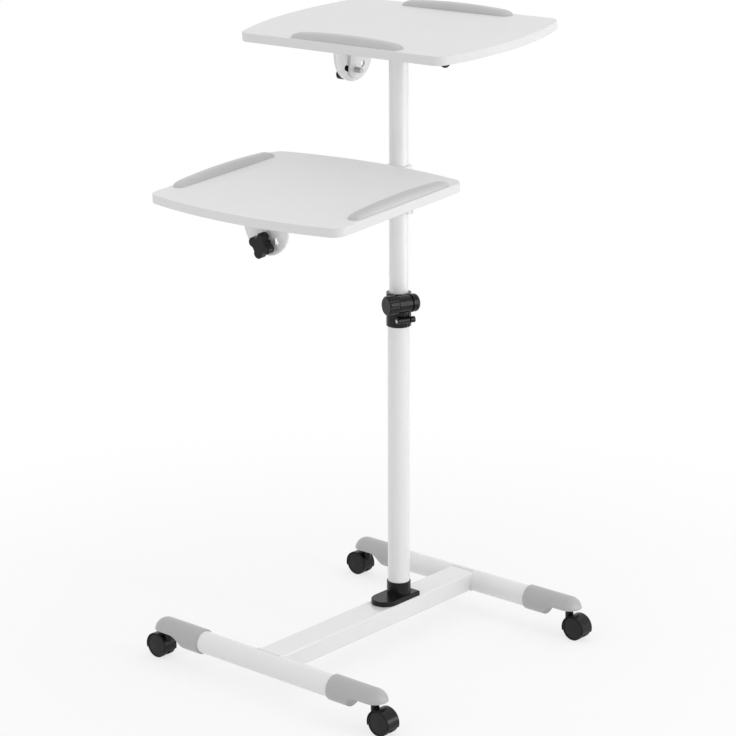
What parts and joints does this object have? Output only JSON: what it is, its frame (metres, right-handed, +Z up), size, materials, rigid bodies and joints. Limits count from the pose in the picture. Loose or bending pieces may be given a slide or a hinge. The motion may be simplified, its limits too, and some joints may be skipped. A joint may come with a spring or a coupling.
{
  "type": "portable projector stand",
  "caption": "Rolling projector stand with a telescoping column on a twin-rail caster base and tilting shelves clamped by star knobs.",
  "frame": {"origin": "middle of the bounding box, on the floor", "axes": "+X along the base rails, +Y along the crossbar away from the lower shelf, +Z up"},
  "size_m": [0.5004, 0.56, 1.0024],
  "materials": {
    "white_tube": "satin",
    "board": "satin lacquer",
    "grey_plastic": "matte",
    "black_plastic": "matte",
    "wheel": "satin",
    "steel": "zinc plated"
  },
  "bodies": {
    "base": {"rail_near": "white_tube", "rail_far": "white_tube", "crossbar": "white_tube", "cap_near_left": "grey_plastic", "cap_near_right": "grey_plastic", "cap_far_left": "grey_plastic", "cap_far_right": "grey_plastic", "foot": "black_plastic", "lower_tube": "white_tube", "collar": "black_plastic"},
    "clamp_knob": {"collar_knob": "black_plastic"},
    "mast": {"mast_tube": "white_tube", "mast_guide": "black_plastic", "upper_bar": "white_tube", "upper_tab": "white_tube", "upper_pin": "steel", "upper_end_cap": "black_plastic"},
    "upper_shelf": {"upper_board": "board", "upper_ridge_front": "grey_plastic", "upper_ridge_back": "grey_plastic", "upper_plate": "white_tube", "upper_ear": "white_tube"},
    "upper_tilt_knob": {"upper_knob": "black_plastic"},
    "lower_arm": {"lower_sleeve": "white_tube", "lower_bar": "white_tube", "lower_tab": "white_tube", "lower_pin": "steel"},
    "lower_shelf": {"lower_board": "board", "lower_ridge_left": "grey_plastic", "lower_ridge_right": "grey_plastic", "lower_plate": "white_tube", "lower_ear": "white_tube"},
    "lower_tilt_knob": {"lower_knob": "black_plastic"},
    "swivel_near_left": {"caster_near_left": "black_plastic"},
    "wheel_near_left": {"wheels_near_left": "wheel"},
    "swivel_near_right": {"caster_near_right": "black_plastic"},
    "wheel_near_right": {"wheels_near_right": "wheel"},
    "swivel_far_left": {"caster_far_left": "black_plastic"},
    "wheel_far_left": {"wheels_far_left": "wheel"},
    "swivel_far_right": {"caster_far_right": "black_plastic"},
    "wheel_far_right": {"wheels_far_right": "wheel"}
  },
  "joints": [
    {"name": "mast_height", "type": "slide", "parent": "base", "child": "mast", "axis": [0, 0, 1], "range_m": [-0.118, 0.2]},
    {"name": "clamp_screw", "type": "hinge", "parent": "base", "child": "clamp_knob", "pos_m": [0.02161, 0.08214, 0.5545], "axis": [0.342, 0.9397, 0], "continuous": true},
    {"name": "upper_tilt", "type": "hinge", "parent": "mast", "child": "upper_shelf", "pos_m": [0.002, 0.09, 0.9395], "axis": [1, 0, 0], "range_deg": [-37.75, 28.25]},
    {"name": "upper_tilt_screw", "type": "hinge", "parent": "mast", "child": "upper_tilt_knob", "pos_m": [-0.094, 0.09, 0.9045], "axis": [-1, 0, 0], "continuous": true},
    {"name": "lower_arm_swivel", "type": "hinge", "parent": "mast", "child": "lower_arm", "pos_m": [0, 0.09, 0.72], "axis": [0, 0, 1], "continuous": true},
    {"name": "lower_tilt", "type": "hinge", "parent": "lower_arm", "child": "lower_shelf", "pos_m": [0, -0.113, 0.74063], "axis": [0, 0.9966, 0.0828], "range_deg": [-33, 33]},
    {"name": "lower_tilt_screw", "type": "hinge", "parent": "lower_arm", "child": "lower_tilt_knob", "pos_m": [0, -0.20577, 0.6978], "axis": [0, -0.9966, -0.0828], "continuous": true},
    {"name": "swivel_near_left", "type": "hinge", "parent": "base", "child": "swivel_near_left", "pos_m": [-0.214, -0.218, 0.0495], "axis": [0, 0, 1], "continuous": true},
    {"name": "roll_near_left", "type": "hinge", "parent": "swivel_near_left", "child": "wheel_near_left", "pos_m": [-0.229, -0.218, 0.019], "axis": [0, 1, 0], "continuous": true},
    {"name": "swivel_near_right", "type": "hinge", "parent": "base", "child": "swivel_near_right", "pos_m": [0.214, -0.218, 0.0495], "axis": [0, 0, 1], "continuous": true},
    {"name": "roll_near_right", "type": "hinge", "parent": "swivel_near_right", "child": "wheel_near_right", "pos_m": [0.229, -0.218, 0.019], "axis": [0, 1, 0], "continuous": true},
    {"name": "swivel_far_left", "type": "hinge", "parent": "base", "child": "swivel_far_left", "pos_m": [-0.214, 0.26, 0.0495], "axis": [0, 0, 1], "continuous": true},
    {"name": "roll_far_left", "type": "hinge", "parent": "swivel_far_left", "child": "wheel_far_left", "pos_m": [-0.229, 0.26, 0.019], "axis": [0, 1, 0], "continuous": true},
    {"name": "swivel_far_right", "type": "hinge", "parent": "base", "child": "swivel_far_right", "pos_m": [0.214, 0.26, 0.0495], "axis": [0, 0, 1], "continuous": true},
    {"name": "roll_far_right", "type": "hinge", "parent": "swivel_far_right", "child": "wheel_far_right", "pos_m": [0.229, 0.26, 0.019], "axis": [0, 1, 0], "continuous": true}
  ]
}
